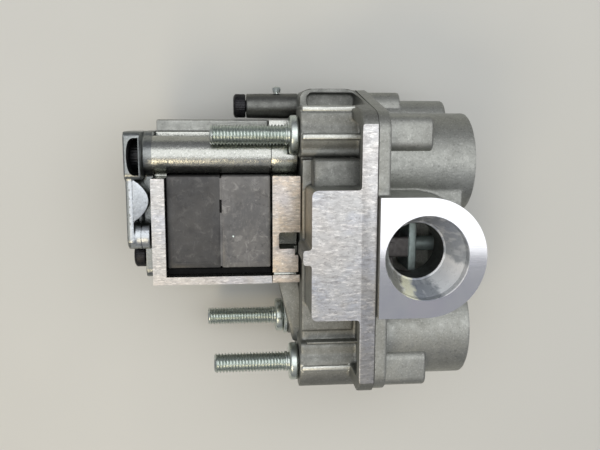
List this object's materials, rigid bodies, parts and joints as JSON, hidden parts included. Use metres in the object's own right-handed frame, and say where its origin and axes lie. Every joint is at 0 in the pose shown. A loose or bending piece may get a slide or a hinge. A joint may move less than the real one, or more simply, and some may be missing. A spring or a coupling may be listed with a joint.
{
  "type": "solenoid diverter valve",
  "caption": "Solenoid diverter valve: cast body with a round inlet and side outlets, a rocker that moves the poppets opposite ways, and threaded mounting studs.",
  "frame": {"origin": "middle of the overall box, on the surface that the valve's back lies on", "axes": "+X from the solenoid to the outlets, +Z out of the inlet, +Y across the valve from the lower to the upper outlet"},
  "size_m": [0.1314, 0.119, 0.09],
  "materials": {
    "cast_aluminium": "matte die casting, as cast",
    "bright_aluminium": "machined, bright",
    "zinc_steel": "zinc plated, satin with a faint green tint",
    "black_steel": "blackened, oiled",
    "moulded_grey": "dark grey coil moulding, satin",
    "gasket_black": "black fibre and rubber sheet",
    "copper": "enamelled copper wire",
    "steel": "turned, bright",
    "brass": "turned brass",
    "seal_rubber": "moulded seal rubber",
    "bobbin_plastic": "natural moulded nylon"
  },
  "bodies": {
    "valve_body": {"main_body": "cast_aluminium", "port_body": "cast_aluminium", "body_gasket": "gasket_black", "solenoid_housing": "cast_aluminium", "adapter_block": "bright_aluminium", "end_cover": "cast_aluminium", "cover_screw_upper": "black_steel", "cover_screw_lower": "black_steel", "cover_screw_rear": "black_steel", "tie_screw": "black_steel", "adapter_screw_upper": "zinc_steel", "adapter_screw_lower": "zinc_steel", "stud_upper": "zinc_steel", "stud_lower": "zinc_steel", "stud_rear": "zinc_steel", "stud_rear_washer": "zinc_steel", "coil_case_left": "moulded_grey", "coil_case_right": "moulded_grey", "flux_washer_left": "steel", "flux_washer_right": "steel", "bobbin_left": "bobbin_plastic", "bobbin_right": "bobbin_plastic", "winding_left": "copper", "winding_right": "copper", "terminal_left_1": "brass", "terminal_left_2": "brass", "terminal_right_1": "brass", "terminal_right_2": "brass", "coil_cushion": "gasket_black", "core_tube": "steel", "pole_piece": "steel", "return_spring": "steel", "rod_bush": "brass", "rod_seal": "seal_rubber", "rocker_pin": "steel", "rocker_bracket": "zinc_steel", "upper_seat": "brass", "upper_spring": "steel", "lower_seat": "brass", "bleed_plug": "zinc_steel"},
    "plunger_set": {"plunger": "steel", "pull_rod": "zinc_steel", "rod_nut": "zinc_steel"},
    "rocker_set": {"rocker": "zinc_steel"},
    "upper_poppet_set": {"upper_poppet": "bright_aluminium", "upper_seal": "seal_rubber", "upper_nut": "zinc_steel", "upper_clip": "zinc_steel"},
    "lower_poppet_set": {"lower_poppet": "bright_aluminium", "lower_seal": "seal_rubber", "lower_nut": "zinc_steel", "lower_clip": "zinc_steel"}
  },
  "joints": [
    {"name": "rocker_tilt", "type": "hinge", "parent": "valve_body", "child": "rocker_set", "pos_m": [0.0365, -0.0037, 0.049], "axis": [0, 0, 1], "range_deg": [0, 6.9], "stiffness_Nm_per_rad": 0.2, "springref_deg": -8.59},
    {"name": "plunger_pull", "type": "slide", "parent": "valve_body", "child": "plunger_set", "axis": [1, 0, 0], "range_m": [-0.0013, 0], "deforming": ["return_spring"]},
    {"name": "upper_poppet_lift", "type": "slide", "parent": "valve_body", "child": "upper_poppet_set", "axis": [1, 0, 0], "range_m": [-0.004, 0], "deforming": ["upper_spring"]},
    {"name": "lower_poppet_lift", "type": "slide", "parent": "valve_body", "child": "lower_poppet_set", "axis": [1, 0, 0], "range_m": [0, 0.004]}
  ],
  "couplings": [
    {"joint": "plunger_pull", "follows": "rocker_tilt", "m_per_rad": -0.0107},
    {"joint": "upper_poppet_lift", "follows": "rocker_tilt", "m_per_rad": -0.033},
    {"joint": "lower_poppet_lift", "follows": "rocker_tilt", "m_per_rad": 0.033}
  ]
}
